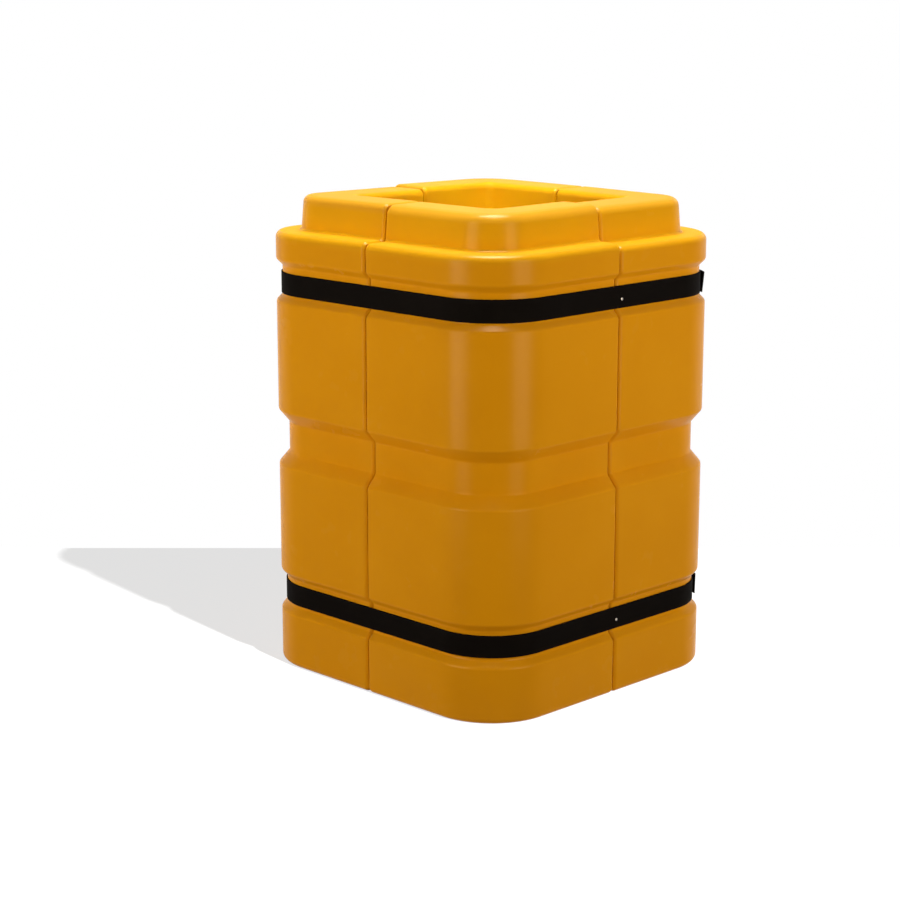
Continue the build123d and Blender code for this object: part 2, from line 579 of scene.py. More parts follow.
@dataclass(frozen=True)
class StudioFloor(Finish):
    """Pale floor that shows white where it is lit and keeps the shadow, up to the white backdrop behind.

    Args:
        turn: Turn of the camera in degrees. The backdrop starts square to it.
    """

    turn: float
    name: str = "studio_floor"
    colour: Colour = (0.2, 0.2, 0.2)
    paler: Colour = (0.205, 0.205, 0.205)
    patch_scale: float = 3.0
    bounce: float = 0.87
    bounce_tint: Colour = (1.0, 0.7, 0.45)
    glow: float = 0.745
    reach: float = 0.739
    roughness: float = 0.9

    def sockets(self, sheet: NodeSheet) -> dict[str, object]:
        """Writes the floor as it is seen, and dimmer for the light that it sends back to the part.

        Args:
            sheet: Sheet of the material.

        Returns:
            What the shader's sockets take.
        """
        place = sheet.place()
        seen = sheet.seen()
        turn = math.radians(self.turn)
        away = (-math.sin(turn), math.cos(turn), 0.0)
        distance = sheet.add("VectorMath", {0: place, 1: away}, operation="DOT_PRODUCT").outputs["Value"]
        backdrop = sheet.math("GREATER_THAN", distance, self.reach)
        pale = sheet.mix(sheet.noise(place, self.patch_scale), self.colour, self.paler)
        pale = sheet.mix(backdrop, pale, (0.0, 0.0, 0.0))
        dim = [self.bounce * share * hue for share, hue in zip(self.colour, self.bounce_tint)]
        return {
            "Base Color": sheet.mix(seen, dim, pale),
            "Roughness": self.roughness,
            "Specular IOR Level": 0.0,
            "Emission Color": (1.0, 1.0, 1.0, 1.0),
            "Emission Strength": sheet.times(seen, sheet.spread(backdrop, self.glow, 1.0)),
        }


# Mesh helpers


def finished_object(bm: BMesh, name: str, material: Material, sharp: float) -> Object:
    """Turns a bmesh into a smooth-shaded object at the origin.

    Args:
        bm: The mesh, in place, which is freed.
        name: Name of the object and its mesh.
        material: Its material.
        sharp: Angle in degrees past which an edge stays sharp.

    Returns:
        The new object, in the scene.
    """
    for face in bm.faces:
        face.smooth = True
    mesh = bpy.data.meshes.new(name)
    bm.to_mesh(mesh)
    bm.free()
    mesh.set_sharp_from_angle(angle=math.radians(sharp))
    mesh.materials.append(material)
    piece = bpy.data.objects.new(name, mesh)
    bpy.context.scene.collection.objects.link(piece)
    return piece


def tidy_mesh(bm: BMesh) -> None:
    """Merges doubled vertices and turns the faces outwards."""
    bmesh.ops.remove_doubles(bm, verts=bm.verts, dist=1e-6)
    bmesh.ops.recalc_face_normals(bm, faces=bm.faces)


def parts_of(geometry: list, kind: type) -> list:
    """Picks the vertices, edges or faces out of an operator's result."""
    return [part for part in geometry if isinstance(part, kind)]


def bevelled(
    bm: BMesh, parts: list, size: float, steps: int, affect: str = "EDGES", slide: bool = False
) -> set[BMFace]:
    """Bevels edges, or the corners of a wire.

    Args:
        bm: The mesh.
        parts: The edges or the vertices.
        size: Width of the bevel on each side.
        steps: How many faces or edges go across it.
        affect: EDGES or VERTICES.
        slide: Whether the bevel's ends slide along the edges that they meet.

    Returns:
        The new faces.
    """
    made = bmesh.ops.bevel(
        bm,
        geom=parts,
        offset=size,
        offset_type="OFFSET",
        affect=affect,
        segments=steps,
        profile=0.5,
        material=-1,
        clamp_overlap=False,
        loop_slide=slide,
    )
    return set(made["faces"])


def cut_across(bm: BMesh, point: Point, normal: Point) -> None:
    """Cuts every face of a mesh along a plane, leaving both sides."""
    everything = [*bm.verts, *bm.edges, *bm.faces]
    bmesh.ops.bisect_plane(bm, geom=everything, dist=1e-7, plane_co=point, plane_no=normal)


# Moulded quarters


@dataclass(frozen=True)
class Bend:
    """One corner of an upright section.

    Args:
        out: Distance from the axis to the face, square on.
        up: Height.
        radius: Rounding, or 0 for none.
    """

    out: float
    up: float
    radius: float = 0.0


@dataclass(frozen=True)
class MouldedTop:
    """How the top of one quarter came out of its mould, as no two shrink alike.

    Args:
        sink: How far it lies under the drawn height, carried on to the upright axis.
        lean: Further drop per metre along +X and along +Y.
        rounding: Rounding of its collar's outer edge.
    """

    sink: float
    lean: Span
    rounding: float


@dataclass
class Quarter:
    """A moulded quarter, built at the front right and turned to its place."""

    place: Place
    top: MouldedTop
    half_side: float = 300 * MM
    corner_radius: float = 120 * MM
    opening_half: float = 165 * MM
    opening_corner_radius: float = 15 * MM
    half_gap: float = 1.0 * MM
    shelf_height: float = 777 * MM
    total_height: float = 837 * MM
    collar_half: float = 255 * MM
    collar_draft: float = 5 * MM
    groove_depth: float = 11 * MM
    groove_floor: float = 51 * MM
    waist_depth: float = 18.5 * MM
    waist_wall: float = 22 * MM
    waist_floor: float = 54 * MM
    lower_groove: float = 96 * MM
    waist_foot: float = 362 * MM
    upper_groove: float = 653 * MM
    base_radius: float = 10 * MM
    lip_radius: float = 6.5 * MM
    valley_radius: float = 6 * MM
    shelf_radius: float = 12 * MM
    collar_foot_radius: float = 6 * MM
    rim_radius: float = 12 * MM
    outer_margin: float = 22 * MM
    inner_margin: float = 20 * MM
    seam_chamfer: float = 3.8 * MM
    seam_lip: float = 2.6 * MM
    seam_slack: float = 0.02 * MM
    tongue_thickness: float = 36 * MM
    tongue_reach: float = 45 * MM
    tongue_tip: float = 8 * MM
    tongue_tip_steps: int = 4
    tongue_setback: float = 77 * MM
    tongue_bottom: float = 40 * MM
    tongue_height: float = 690 * MM
    clearance: float = 0.8 * MM
    corner_steps: int = 28
    straight_steps: int = 4
    bend_steps: int = 3
    bend_step_degrees: float = 12
    shrunk_depth: float = 30 * MM
    full_edge: float = 0.22

    def groove(self, foot: float, depth: float, wall: float, floor: float) -> list[Bend]:
        """Section corners of a groove that runs round the body.

        Args:
            foot: Height where it starts.
            depth: How far its floor lies in.
            wall: Height of each sloping wall.
            floor: Height of its floor.

        Returns:
            Its four corners, from the foot up.
        """
        inside = self.half_side - depth
        top = foot + 2 * wall + floor
        return [
            Bend(self.half_side, foot, self.lip_radius),
            Bend(inside, foot + wall, self.valley_radius),
            Bend(inside, top - wall, self.valley_radius),
            Bend(self.half_side, top, self.lip_radius),
        ]

    def outer_section(self) -> list[Bend]:
        """Lists the corners of the outside.

        Returns:
            The corners, from under the base up and over the collar.
        """
        collar_top = self.collar_half - self.collar_draft
        return [
            Bend(self.half_side - self.outer_margin, 0.0),
            Bend(self.half_side, 0.0, self.base_radius),
            *self.groove(self.lower_groove, self.groove_depth, self.groove_depth, self.groove_floor),
            *self.groove(self.waist_foot, self.waist_depth, self.waist_wall, self.waist_floor),
            *self.groove(self.upper_groove, self.groove_depth, self.groove_depth, self.groove_floor),
            Bend(self.half_side, self.shelf_height, self.shelf_radius),
            Bend(self.collar_half, self.shelf_height, self.collar_foot_radius),
            Bend(collar_top, self.total_height, self.top.rounding),
            Bend(collar_top - self.outer_margin, self.total_height),
        ]

    def inner_section(self) -> list[Bend]:
        """Lists the corners of the wall round the opening.

        Returns:
            The corners, from the top rim down.
        """
        return [
            Bend(self.opening_half + self.inner_margin, self.total_height),
            Bend(self.opening_half, self.total_height, self.rim_radius),
            Bend(self.opening_half, 0.0, self.valley_radius),
            Bend(self.opening_half + self.inner_margin, 0.0),
        ]

    def section_wire(self, bm: BMesh, bends: list[Bend]) -> list[BMEdge]:
        """Draws a section as a wire in the +Y seam and rounds its corners.

        Args:
            bm: Mesh to draw in.
            bends: The section's corners in order.

        Returns:
            The wire's edges.
        """
        known = set(bm.edges)
        corners = [bm.verts.new((bend.out, -self.half_gap, bend.up)) for bend in bends]
        for pair in zip(corners, corners[1:]):
            bm.edges.new(pair)
        for corner, before, here, after in zip(corners[1:-1], bends, bends[1:], bends[2:]):
            if here.radius:
                come = Vector((here.out - before.out, here.up - before.up))
                turn = come.angle(Vector((after.out - here.out, after.up - here.up)))
                steps = max(self.bend_steps, round(math.degrees(turn) / self.bend_step_degrees))
                bevelled(bm, [corner], here.radius * math.tan(turn / 2), steps, affect="VERTICES")
        return [edge for edge in bm.edges if edge not in known]

    def drawn_out(self, bm: BMesh, edges: list[BMEdge], run: Vector) -> list[BMEdge]:
        """Extrudes a wire along a straight run in even steps.

        Args:
            bm: The mesh.
            edges: The wire.
            run: How far it goes in all.

        Returns:
            The wire's edges at the far end.
        """
        for _ in range(self.straight_steps):
            grown = bmesh.ops.extrude_edge_only(bm, edges=edges)["geom"]
            verts = parts_of(grown, BMVert)
            bmesh.ops.translate(bm, verts=verts, vec=run / self.straight_steps)
            moved = set(verts)
            edges = [edge for edge in parts_of(grown, BMEdge) if moved.issuperset(edge.verts)]
        return edges

    def swept_wall(self, bm: BMesh, bends: list[Bend], centre: float) -> None:
        """Sweeps a section from the +Y seam round the corner to the -X seam.

        Args:
            bm: Mesh to build in.
            bends: The section's corners.
            centre: Distance of the corner's upright axis from both seams' planes.
        """
        straight = centre - self.half_gap
        edges = self.section_wire(bm, bends)
        edges = self.drawn_out(bm, edges, Vector((0, -straight, 0)))
        verts = {vert for edge in edges for vert in edge.verts}
        spun = bmesh.ops.spin(
            bm,
            geom=[*verts, *edges],
            cent=(centre, -centre, 0),
            axis=(0, 0, 1),
            angle=-math.pi / 2,
            steps=self.corner_steps,
            use_duplicate=False,
        )
        self.drawn_out(bm, parts_of(spun["geom_last"], BMEdge), Vector((-straight, 0, 0)))

    def in_seam(self, part: BMEdge | BMFace, *seams: Seam) -> bool:
        """Tells whether the whole of an edge or a face lies in one of the seams."""
        planes = [[abs(vert.co[seam.value]) for vert in part.verts] for seam in seams]
        return any(all(abs(out - self.half_gap) < self.seam_slack for out in plane) for plane in planes)

    def bridged_ends(self, bm: BMesh) -> None:
        """Joins the outside and the opening's wall across the top and under the base.

        Args:
            bm: The mesh.
        """
        for height in (0.0, self.total_height):
            rims = [
                edge
                for edge in bm.edges
                if edge.is_boundary
                and all(abs(vert.co.z - height) < 1e-6 for vert in edge.verts)
                and not self.in_seam(edge, *Seam)
            ]
            bmesh.ops.bridge_loops(bm, edges=rims)

    def closed_seams(self, bm: BMesh) -> None:
        """Fills the two seam faces, chamfers their edges and rounds the chamfers' lips.

        Args:
            bm: The mesh.
        """
        borders = []
        for seam in Seam:
            border = [edge for edge in bm.edges if edge.is_boundary and self.in_seam(edge, seam)]
            bmesh.ops.edgeloop_fill(bm, edges=border)
            borders += border
        bmesh.ops.recalc_face_normals(bm, faces=bm.faces)
        slopes = bevelled(bm, borders, self.seam_chamfer, 1, slide=True)
        lips = [
            edge
            for edge in {edge for face in slopes for edge in face.edges}
            if sum(face in slopes for face in edge.link_faces) == 1 and not self.in_seam(edge, *Seam)
        ]
        bevelled(bm, lips, self.seam_lip, 2, slide=True)

    def slip_joint(self, bm: BMesh, seam: Seam) -> None:
        """Opens a seam face and draws the tongue out of it, or sinks the slot into it.

        Args:
            bm: The mesh.
            seam: The seam that carries the tongue or the slot.
        """
        clear = 0.0 if seam is Seam.TONGUE else self.clearance
        faces = [face for face in bm.faces if self.in_seam(face, seam)]
        face = max(faces, key=lambda candidate: candidate.calc_area())
        border = list(face.edges)
        bmesh.ops.delete(bm, geom=[face], context="FACES_ONLY")
        middle = self.half_side - self.tongue_setback
        near = middle - self.tongue_thickness / 2 - clear
        far = middle + self.tongue_thickness / 2 + clear
        low = self.tongue_bottom - clear
        high = self.tongue_bottom + self.tongue_height + clear
        outline = [(near, low), (far, low), (far, high), (near, high)]
        if seam is Seam.TONGUE:
            corners = [bm.verts.new((out, -self.half_gap, up)) for out, up in outline]
            way = Vector((0, self.tongue_reach + self.half_gap, 0))
        else:
            corners = [bm.verts.new((self.half_gap, -out, up)) for out, up in outline]
            way = Vector((self.tongue_reach + clear - self.half_gap, 0, 0))
        mouth = [bm.edges.new(pair) for pair in zip(corners, corners[1:] + corners[:1])]
        bmesh.ops.triangle_fill(bm, use_beauty=True, use_dissolve=False, edges=border + mouth)
        end = bm.faces.new(corners)
        drawn = bmesh.ops.extrude_face_region(bm, geom=[end])["geom"]
        bmesh.ops.delete(bm, geom=[end], context="FACES_ONLY")
        bmesh.ops.translate(bm, verts=parts_of(drawn, BMVert), vec=way)
        tip = parts_of(drawn, BMFace)[0]
        bevelled(bm, list(tip.edges), self.tongue_tip + clear, self.tongue_tip_steps)

    def mark_edges(self, bm: BMesh) -> None:
        """Stores how sharply the skin turns outwards at each vertex, as the attribute edge.

        Args:
            bm: The mesh.
        """
        layer = bm.verts.layers.float.new("edge")
        for vert in bm.verts:
            turns = [edge.calc_face_angle_signed(0.0) for edge in vert.link_edges if edge.is_manifold]
            vert[layer] = min(1.0, max(0.0, max(turns, default=0.0)) / self.full_edge)

    def shrink_top(self, bm: BMesh) -> None:
        """Lowers and tilts the shelf and the collar.

        Args:
            bm: The mesh, in its place.
        """
        for vert in bm.verts:
            if vert.co.z > self.shelf_height - self.shrunk_depth:
                vert.co.z -= self.top.sink + vert.co.xy.dot(Vector(self.top.lean))

    def build(self, material: Material) -> Object:
        """Builds the quarter in its place.

        Args:
            material: Its plastic.

        Returns:
            The quarter's shell, which stands for its node.
        """
        bm = bmesh.new()
        self.swept_wall(bm, self.outer_section(), self.half_side - self.corner_radius)
        self.swept_wall(bm, self.inner_section(), self.opening_half - self.opening_corner_radius)
        self.bridged_ends(bm)
        self.closed_seams(bm)
        self.slip_joint(bm, Seam.TONGUE)
        self.slip_joint(bm, Seam.SLOT)
        tidy_mesh(bm)
        self.mark_edges(bm)
        turn = Matrix.Rotation(math.radians(self.place.value), 3, "Z")
        bmesh.ops.rotate(bm, cent=(0, 0, 0), matrix=turn, verts=bm.verts)
        self.shrink_top(bm)
        body = self.place.body
        shell = finished_object(bm, f"{body}_shell", material, sharp=40)
        even = shell.modifiers.new("even_shading", "WEIGHTED_NORMAL")
        even.keep_sharp = True
        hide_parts(f"{body}_quarter")
        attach(shell, body)
        return shell


# Straps


@dataclass(frozen=True)
class Leg:
    """A straight or turning part of a strap's way round the body, seen from above.

    Args:
        start: Where it starts.
        end: Where it ends.
        centre: The corner's axis where it turns, or None where it is straight.
    """

    start: Vector
    end: Vector
    centre: Vector | None = None

    @property
    def length(self) -> float:
        """Measures the leg.

        Returns:
            Its length along the strap's inner face.
        """
        if self.centre is None:
            return (self.end - self.start).length
        arm = self.start - self.centre
        return arm.length * arm.angle(self.end - self.centre)

    def at(self, distance: float) -> tuple[Vector, Vector]:
        """Point on the leg and the outward direction there.

        Args:
            distance: Length from the leg's start.

        Returns:
            The point and the direction, in plan.
        """
        if self.centre is None:
            way = (self.end - self.start).normalized()
            return self.start + way * distance, Vector((-way.y, way.x))
        arm = self.start - self.centre
        turn = Matrix.Rotation(-distance / arm.length, 2)
        return self.centre + turn @ arm, (turn @ arm).normalized()


@dataclass(frozen=True)
class Band:
    """Flat goods that a strap or a tape is cut from, with the slot of their finish."""

    slot: Slot
    width: float
    thickness: float
    rounding: float


@dataclass
class Strap:
    """One strap, from its short end on the rear face round the body to its free end.

    Args:
        level: Which strap it is.
        middle: Height of its middle.
        wrap: How far its free end goes round the corner, in degrees.
        curl: How far the tip of its free end stands off.
        curl_tilt: How much more the tip's upper edge stands off than its lower edge.
        cut_slant: How much longer the tip's upper edge is than its lower edge.
        sag: How far the tip hangs down.
    """

    level: Level
    middle: float
    wrap: float
    curl: float
    curl_tilt: float
    cut_slant: float
    sag: float
    inner: float = 289.3 * MM
    webbing: Band = Band(Slot.WEBBING, width=38 * MM, thickness=2 * MM, rounding=0.7 * MM)
    tape: Band = Band(Slot.TAPE, width=34 * MM, thickness=1.2 * MM, rounding=0.3 * MM)
    corner_centre: float = 180 * MM
    short_start: float = 12 * MM
    ramp_start: float = 70 * MM
    ramp_end: float = 8 * MM
    tail_inner: float = 294 * MM
    free_length: float = 62 * MM
    let_out_share: float = 0.35
    straight_pitch: float = 9 * MM
    corner_pitch: float = 4.5 * MM
    cuts_across: tuple[float, ...] = (-0.3, 0.0, 0.3)
    tape_start: float = 20 * MM
    tape_length: float = 160 * MM
    stitch_inset: float = 3 * MM
    stitch_pitch: float = 4.2 * MM
    stitch_length: float = 3.2 * MM
    stitch_lift: float = 0.05 * MM
    thread: float = 0.45 * MM
    rivet_setback: float = 13 * MM
    rivet_drop: float = 4 * MM
    blend_half: float = 60 * MM
    run_legs: tuple[int, ...] = (0, 3, 6, 10)
    legs: list[Leg] = field(default_factory=list)

    def __post_init__(self) -> None:
        """Lays out the strap's way: short end, right, front, left, rear, ramp and tail round the corner."""
        near, far, tail = self.corner_centre, self.inner, self.tail_inner
        points = [(self.short_start, far), (near, far), (far, near), (far, -near), (near, -far)]
        points += [(-near, -far), (-far, -near), (-far, near), (-near, far)]
        points += [(-self.ramp_start, far), (-self.ramp_end, tail)]
        turn = math.radians(self.wrap)
        round_corner = Vector((near, near)) + Vector((math.sin(turn), math.cos(turn))) * (tail - near)
        points += [(near, tail), round_corner]
        centres = {1: (near, near), 3: (near, -near), 5: (-near, -near), 7: (-near, near), 11: (near, near)}
        for number, (start, end) in enumerate(zip(points, points[1:])):
            centre = Vector(centres[number]) if number in centres else None
            self.legs.append(Leg(Vector(start), Vector(end), centre))

    def reach(self, legs: int) -> float:
        """Length of the strap up to the end of its first legs."""
        return sum(leg.length for leg in self.legs[:legs])

    @property
    def tail_start(self) -> float:
        """Length of the strap up to its tail, at the end of the ramp."""
        return self.reach(self.run_legs[-1])

    @property
    def length(self) -> float:
        """Whole length of the strap."""
        return self.reach(len(self.legs))

    @property
    def hook_start(self) -> float:
        """Length of the strap up to the hook tape under its tail."""
        return self.tail_start + self.ramp_end + self.tape_start

    def laid(self, along: float, out: float, up: float) -> Vector:
        """Carries a point of the flat strap to its place round the body.

        Args:
            along: Length from the strap's short end.
            out: Distance from its inner face.
            up: Height over its middle.

        Returns:
            The point in space.
        """
        share = self.free_share(along)
        lean = up / self.webbing.width
        along += share * self.cut_slant * lean
        passed = 0.0
        for leg in self.legs[:-1]:
            if along <= passed + leg.length:
                break
            passed += leg.length
        else:
            leg = self.legs[-1]
        point, outward = leg.at(along - passed)
        point = point + outward * (out + share * (self.curl + self.curl_tilt * lean))
        height = self.middle + up - self.sag * self.tail_share(along)
        return Vector((point.x, point.y, height))

    def tail_share(self, along: float) -> float:
        """How far along its tail the strap is there: 0 up to the ramp's end, rising to 1 at its free end."""
        return max(0.0, (along - self.tail_start) / (self.length - self.tail_start)) ** 2

    def free_share(self, along: float) -> float:
        """How free the strap is there: 0 where it is held, rising to 1 at its free end."""
        return (max(0.0, along - self.length + self.free_length) / self.free_length) ** 2

    def stations(self, start: float, end: float) -> list[float]:
        """Lengths at which a run is cut, closer together where it turns.

        Args:
            start: Length where the run starts.
            end: Length where it ends.

        Returns:
            The lengths between start and end.
        """
        cuts = []
        passed = 0.0
        for leg in self.legs:
            pitch = self.straight_pitch if leg.centre is None else self.corner_pitch
            steps = max(1, round(leg.length / pitch))
            cuts += [passed + leg.length * step / steps for step in range(steps)]
            passed += leg.length
        return [cut for cut in cuts if start + MM < cut < end - MM]

    def strip(self, name: str, band: Band, run: Span, inner: float, material: Material) -> Object:
        """Cuts a strip flat, with x along, y out and z up, maps it in metres and lays it round the body.

        Args:
            name: Name of the piece, without the strap's level.
            band: What it is cut from.
            run: Lengths along the strap where it starts and ends.
            inner: Distance of its inner face from the strap's inner face.
            material: Its material.

        Returns:
            The strip in place.
        """
        start, end = run
        bm = bmesh.new()
        bmesh.ops.create_cube(bm, size=1.0)
        bmesh.ops.scale(bm, vec=(end - start, band.thickness, band.width), verts=bm.verts)
        bmesh.ops.translate(bm, vec=((start + end) / 2, inner + band.thickness / 2, 0), verts=bm.verts)
        long_edges = [edge for edge in bm.edges if abs(edge.verts[0].co.x - edge.verts[1].co.x) > MM]
        bevelled(bm, long_edges, band.rounding, 3)
        for share in self.cuts_across:
            cut_across(bm, (0, 0, share * band.width), (0, 0, 1))
        for cut in self.stations(start, end):
            cut_across(bm, (cut, 0, 0), (1, 0, 0))
        layer = bm.loops.layers.uv.new("run")
        for face in bm.faces:
            for loop in face.loops:
                loop[layer].uv = (loop.vert.co.x, loop.vert.co.z + loop.vert.co.y)
        return self.wrapped(bm, name, material)

    def wrapped(self, bm: BMesh, name: str, material: Material) -> Object:
        """Lays a flat mesh round the body and makes it an object.

        Args:
            bm: The flat mesh.
            name: Name of the piece, without the strap's level.
            material: Its material.

        Returns:
            The piece in place.
        """
        for vert in bm.verts:
            vert.co = self.laid(*vert.co)
        tidy_mesh(bm)
        piece = finished_object(bm, f"{self.level.value}_{name}", material, sharp=50)
        return piece

    def build_runs(self, material: Material) -> list[Object]:
        """Builds the webbing as three runs, each across one seam, and the tail past the rear seam.

        Args:
            material: The webbing.

        Returns:
            The right, front and left runs and the tail.
        """
        near, far = self.blend_half, self.inner
        ends = [self.reach(legs) for legs in self.run_legs]
        level = self.level.value
        right, front = ((far, near), (far, -near)), ((near, -far), (-near, -far))
        left = ((-far, -near), (-far, near))
        plans = [
            ("right_run", ("rear_right", "front_right"), right, ["short_end"]),
            ("front_run", ("front_right", "front_left"), front, ["front_right", "front_left"]),
            ("left_run", ("front_left", "rear_left"), left, ["long_end"]),
        ]
        runs = []
        for (name, bodies, seam, nodes), start, end in zip(plans, ends, ends[1:]):
            run = self.strip(f"strap_{name}", self.webbing, (start, end), 0.0, material)
            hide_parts(*(f"{level}_strap_{node}" for node in nodes))
            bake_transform(run)
            runs.append(run)
        tail = self.strip("strap_tail", self.webbing, (self.tail_start, self.length), 0.0, material)
        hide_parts(f"{level}_strap_long_end")
        self.let_out(tail)
        return [*runs, tail]

    def let_out(self, piece: Object) -> None:
        """Lets a piece ride with the rear left quarter and draw back as the strap is let out.

        Args:
            piece: The tail or what is sewn to it.
        """
        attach(piece, Place.REAR_LEFT.body)
        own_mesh(piece)

    def build_tapes(self, hook: Material, loop: Material) -> list[Object]:
        """Builds the hook tape under the free end and the loop tape on the short end.

        Args:
            hook: Hook tape's material.
            loop: Loop tape's material.

        Returns:
            The hook tape and the loop tape.
        """
        loop_start = self.tape_start - self.short_start
        plans = [
            ("hook", self.hook_start, -self.tape.thickness, hook),
            ("loop", loop_start, self.webbing.thickness, loop),
        ]
        tapes = []
        for name, start, inner, material in plans:
            run = (start, start + self.tape_length)
            tape = self.strip(f"{name}_strip", self.tape, run, inner, material)
            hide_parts(f"{self.level.value}_{name}_tape")
            tapes.append(tape)
        self.let_out(tapes[0])
        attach(tapes[1], Place.REAR_RIGHT.body)
        return tapes

    def build_stitching(self, material: Material) -> Object:
        """Sews the hook tape to the free end: one row of stitches round its outline.

        Args:
            material: The thread.

        Returns:
            The stitches, as one piece.
        """
        first = self.hook_start + self.stitch_inset
        last = first + self.tape_length - 2 * self.stitch_inset
        edge = self.tape.width / 2 - self.stitch_inset
        out = self.webbing.thickness + self.stitch_lift
        size = Vector((self.stitch_length, self.thread, self.thread))
        bm = bmesh.new()
        rows = [((first, up), (last, up)) for up in (-edge, edge)]
        rows += [((along, -edge), (along, edge)) for along in (first, last)]
        for start, end in rows:
            way = Vector(end) - Vector(start)
            count = round(way.length / self.stitch_pitch)
            for number in range(count):
                spot = Vector(start) + way * ((number + 0.5) / count)
                bead = bmesh.ops.create_uvsphere(bm, u_segments=6, v_segments=4, radius=0.5)["verts"]
                bmesh.ops.scale(bm, vec=size if way.x else size.zyx, verts=bead)
                bmesh.ops.translate(bm, vec=(spot.x, out, spot.y), verts=bead)
        stitches = self.wrapped(bm, "stitching", material)
        self.let_out(stitches)
        return stitches

    def build_rivet(self, material: Material) -> Object:
        """Turns the rivet: a domed head with the broken mandrel in its middle, on its shank.

        Args:
            material: The rivet's metal.

        Returns:
            The rivet in place.
        """
        bm = bmesh.new()
        head, height, rim = 2.5 * MM, 1.1 * MM, 0.3 * MM
        shank, depth = 1.2 * MM, 9 * MM
        bore, sunk, lip = 0.75 * MM, 0.3 * MM, 0.2 * MM
        profile = [(-depth, 0.0), (-depth, shank), (0.0, shank), (0.0, head), (rim, head)]
        profile += [(0.8 * height, 0.62 * head), (height, bore + lip), (height, bore)]
        profile += [(height - sunk, bore), (height - sunk, 0.4 * bore), (height - 0.5 * sunk, 0.0)]
        corners = [bm.verts.new((out, radius, 0.0)) for out, radius in profile]
        edges = [bm.edges.new(pair) for pair in zip(corners, corners[1:])]
        bmesh.ops.spin(
            bm,
            geom=[*corners, *edges],
            cent=(0, 0, 0),
            axis=(1, 0, 0),
            angle=2 * math.pi,
            steps=32,
            use_merge=True,
            use_duplicate=False,
        )
        face = self.inner + self.webbing.thickness
        seat = (face, self.rivet_setback, self.middle - self.rivet_drop)
        bmesh.ops.translate(bm, vec=seat, verts=bm.verts)
        tidy_mesh(bm)
        rivet = finished_object(bm, f"{self.level.value}_domed_rivet", material, sharp=35)
        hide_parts(f"{self.level.value}_rivet")
        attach(rivet, Place.REAR_RIGHT.body)
        return rivet


# Studio


def hung(data: Light, place: Point, way: Vector) -> Object:
    """Hangs a lamp in the scene.

    Args:
        data: Its light.
        place: Where it hangs.
        way: Direction in which it shines.

    Returns:
        The lamp.
    """
    lamp = bpy.data.objects.new(data.name, data)
    lamp.location = place
    lamp.rotation_euler = way.to_track_quat("-Z", "Y").to_euler()
    bpy.context.scene.collection.objects.link(lamp)
    return lamp


@dataclass(frozen=True)
class SoftBox:
    """A plain area lamp that faces a point, with its power in watts.

    Args:
        matt: Whether it lights the colour of what it shines on.
        sheen: Whether it shows as a reflection.
    """

    name: str
    place: Point
    aim: Point
    size: Span
    power: float
    tint: Colour = (1.0, 0.8, 0.55)
    matt: bool = True
    sheen: bool = True

    def build(self) -> Object:
        """Sets up the lamp.

        Returns:
            Its object.
        """
        light = bpy.data.lights.new(self.name, "AREA")
        light.shape = "RECTANGLE"
        light.size, light.size_y = self.size
        light.energy = self.power
        light.color = self.tint
        lamp = hung(light, self.place, Vector(self.aim) - Vector(self.place))
        lamp.visible_diffuse = self.matt
        lamp.visible_glossy = self.sheen
        return lamp


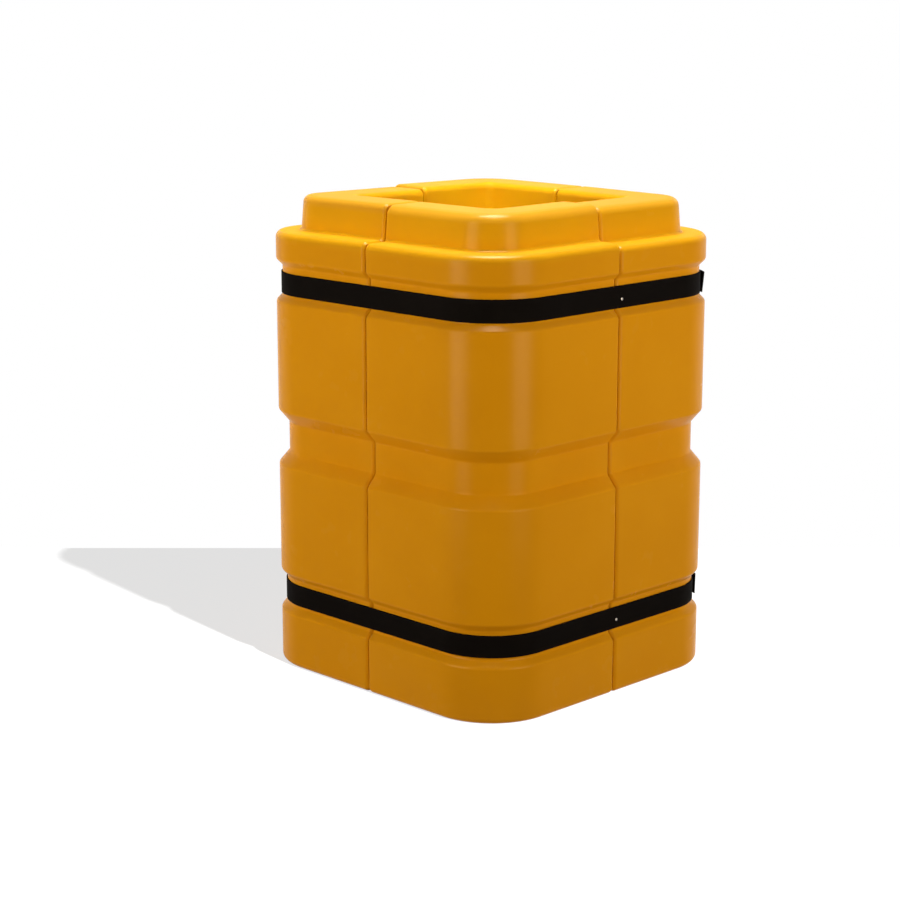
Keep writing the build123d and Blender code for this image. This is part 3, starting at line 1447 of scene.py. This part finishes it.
@dataclass
class Studio:
    """Pale floor, soft light and the camera at the photograph's angle."""

    camera_place: Point = (2.5339, -2.6067, 1.1846)
    camera_turn: float = 45.31
    camera_dip: float = 12.47
    lens: float = 83.6
    sensor: float = 36.0
    floor_half: float = 30.0
    sky: float = 0.01
    sun_power: float = 10.0
    sun_way: Point = (-0.7491, 0.092, -0.6561)
    sun_angle: float = 1.5
    strip: Span = (0.38, 1.7)
    low_strip: Span = (0.38, 1.2)
    card: Span = (0.8, 1.7)
    top_tint: Colour = (0.93, 0.84, 0.62)
    fill_tint: Colour = (1.0, 0.5, 0.2)
    beam_place: Point = (1.55, -1.55, 2.3)
    beam_aim: Point = (-0.1, 0.1, 0.74)
    beam_power: float = 203.0
    beam_tint: Colour = (0.9, 1.0, 0.6)
    beam_angle: float = 6.5
    beam_blend: float = 0.6
    beam_radius: float = 0.1

    def build_floor(self) -> Object:
        """Lays the floor.

        Returns:
            The floor, which is part of the stage.
        """
        bm = bmesh.new()
        bmesh.ops.create_grid(bm, x_segments=2, y_segments=2, size=self.floor_half)
        material = StudioFloor(self.camera_turn).material()
        floor = finished_object(bm, "studio_floor", material, sharp=30)
        return floor

    def build_world(self) -> None:
        """Lights the room evenly, and shows it white to the camera and in reflections."""
        world = bpy.data.worlds.new("studio_room")
        world.use_nodes = True
        sheet = NodeSheet(world.node_tree)
        strength = sheet.spread(sheet.seen(), self.sky, 1.0)
        white = (1.0, 1.0, 1.0, 1.0)
        sheet.feed(world.node_tree.nodes["Background"], {"Color": white, "Strength": strength})
        bpy.context.scene.world = world

    def soft_boxes(self) -> list[SoftBox]:
        """Lists the area lamps.

        Returns:
            Strips that light the sides, cards that show only as sheen, a box overhead and a weak fill.
        """
        middle, low, level = (0.0, 0.0, 0.75), (0.0, 0.0, 0.5), (0.0, 0.0, 0.9)
        return [
            SoftBox("left_strip", (-0.28, -1.9, 0.95), middle, self.strip, 16.4, sheen=False),
            SoftBox("right_strip", (1.9, 0.28, 0.95), middle, self.strip, 16.6, sheen=False),
            SoftBox("back_strip", (0.28, 1.9, 0.6), low, self.low_strip, 12.0, sheen=False),
            SoftBox("side_strip", (-1.9, -0.28, 0.6), low, self.low_strip, 12.0, sheen=False),
            SoftBox("left_card", (-0.1, -1.9, 0.9), level, self.card, 72.0, matt=False),
            SoftBox("right_card", (1.9, -0.19, 0.9), level, self.card, 72.0, matt=False),
            SoftBox("overhead_box", (-0.1, 0.1, 3.0), (-0.1, 0.1, 0.0), (1.0, 1.0), 72.0, self.top_tint),
            SoftBox("top_card", (0.1, -0.1, 3.0), (0.1, -0.1, 0.0), (1.2, 1.2), 690.0, matt=False),
            SoftBox("front_fill", (1.3, -1.3, 2.6), (0.0, 0.0, 0.6), (1.6, 1.6), 4.0, self.fill_tint),
        ]

    def build_lights(self, floor: Object) -> None:
        """Sets up the lamps that light the part alone, and the key light that lights the floor alone.

        Args:
            floor: The floor, which shows the part's shadow.
        """
        lamps = [*(box.build() for box in self.soft_boxes()), self.build_beam()]
        sun = bpy.data.lights.new("floor_key", "SUN")
        sun.energy = self.sun_power
        sun.angle = math.radians(self.sun_angle)
        key = hung(sun, (0.0, 0.0, 0.0), Vector(self.sun_way))
        for name, state, linked in (("object_lit", "EXCLUDE", lamps), ("key_lit", "INCLUDE", [key])):
            group = bpy.data.collections.new(name)
            group.objects.link(floor)
            group.collection_objects[0].light_linking.link_state = state
            for lamp in linked:
                lamp.light_linking.receiver_collection = group

    def build_beam(self) -> Object:
        """Aims a narrow beam from the front into the opening.

        Returns:
            The lamp.
        """
        spot = bpy.data.lights.new("opening_spot", "SPOT")
        spot.energy = self.beam_power
        spot.color = self.beam_tint
        spot.spot_size = math.radians(self.beam_angle)
        spot.spot_blend = self.beam_blend
        spot.shadow_soft_size = self.beam_radius
        return hung(spot, self.beam_place, Vector(self.beam_aim) - Vector(self.beam_place))

    def build_camera(self) -> None:
        """Sets the camera where the photograph was taken from."""
        data = bpy.data.cameras.new("camera")
        data.lens = self.lens
        data.sensor_width = self.sensor
        camera = bpy.data.objects.new("camera", data)
        camera.location = self.camera_place
        camera.rotation_euler = (math.radians(90 - self.camera_dip), 0.0, math.radians(self.camera_turn))
        bpy.context.scene.collection.objects.link(camera)
        bpy.context.scene.camera = camera


def main() -> None:
    """Builds the protector and its studio in order and reports each piece."""
    logging.basicConfig(level=logging.INFO, format="%(name)s: %(message)s")
    bpy.context.scene.view_settings.view_transform = "Standard"
    write_dust()
    write_scuff()
    write_weave()
    plastic = MouldedPlastic().material()
    webbing = Webbing().material()
    hook = FasteningTape(Pile.HOOK).material()
    loop = FasteningTape(Pile.LOOP).material()
    thread = SewingThread().material()
    metal = RivetMetal().material()

    tops = {
        Place.FRONT_RIGHT: MouldedTop(1.4 * MM, (0.0, -4.0 * MM), rounding=18 * MM),
        Place.REAR_RIGHT: MouldedTop(3.5 * MM, (12.0 * MM, -2.0 * MM), rounding=15 * MM),
        Place.REAR_LEFT: MouldedTop(0.8 * MM, (3.2 * MM, 10.0 * MM), rounding=14 * MM),
        Place.FRONT_LEFT: MouldedTop(2.8 * MM, (-5.6 * MM, 8.0 * MM), rounding=12 * MM),
    }
    straps = [
        Strap(
            Level.UPPER, 685 * MM, wrap=41, curl=2.8 * MM, curl_tilt=1.0 * MM, cut_slant=11 * MM, sag=3.7 * MM
        ),
        Strap(
            Level.LOWER, 131 * MM, wrap=37.6, curl=3.7 * MM, curl_tilt=0.5 * MM, cut_slant=MM, sag=0.5 * MM
        ),
    ]
    pieces = [Quarter(place, top).build(plastic) for place, top in tops.items()]
    for strap in straps:
        pieces += strap.build_runs(webbing)
        pieces += strap.build_tapes(hook, loop)
        pieces.append(strap.build_stitching(thread))
        pieces.append(strap.build_rivet(metal))
    for piece in pieces:
        LOG.info("%s: %d faces", piece.name, len(piece.data.polygons))

    studio = Studio()
    floor = studio.build_floor()
    studio.build_world()
    studio.build_lights(floor)
    studio.build_camera()


if __name__ == "__main__":
    main()
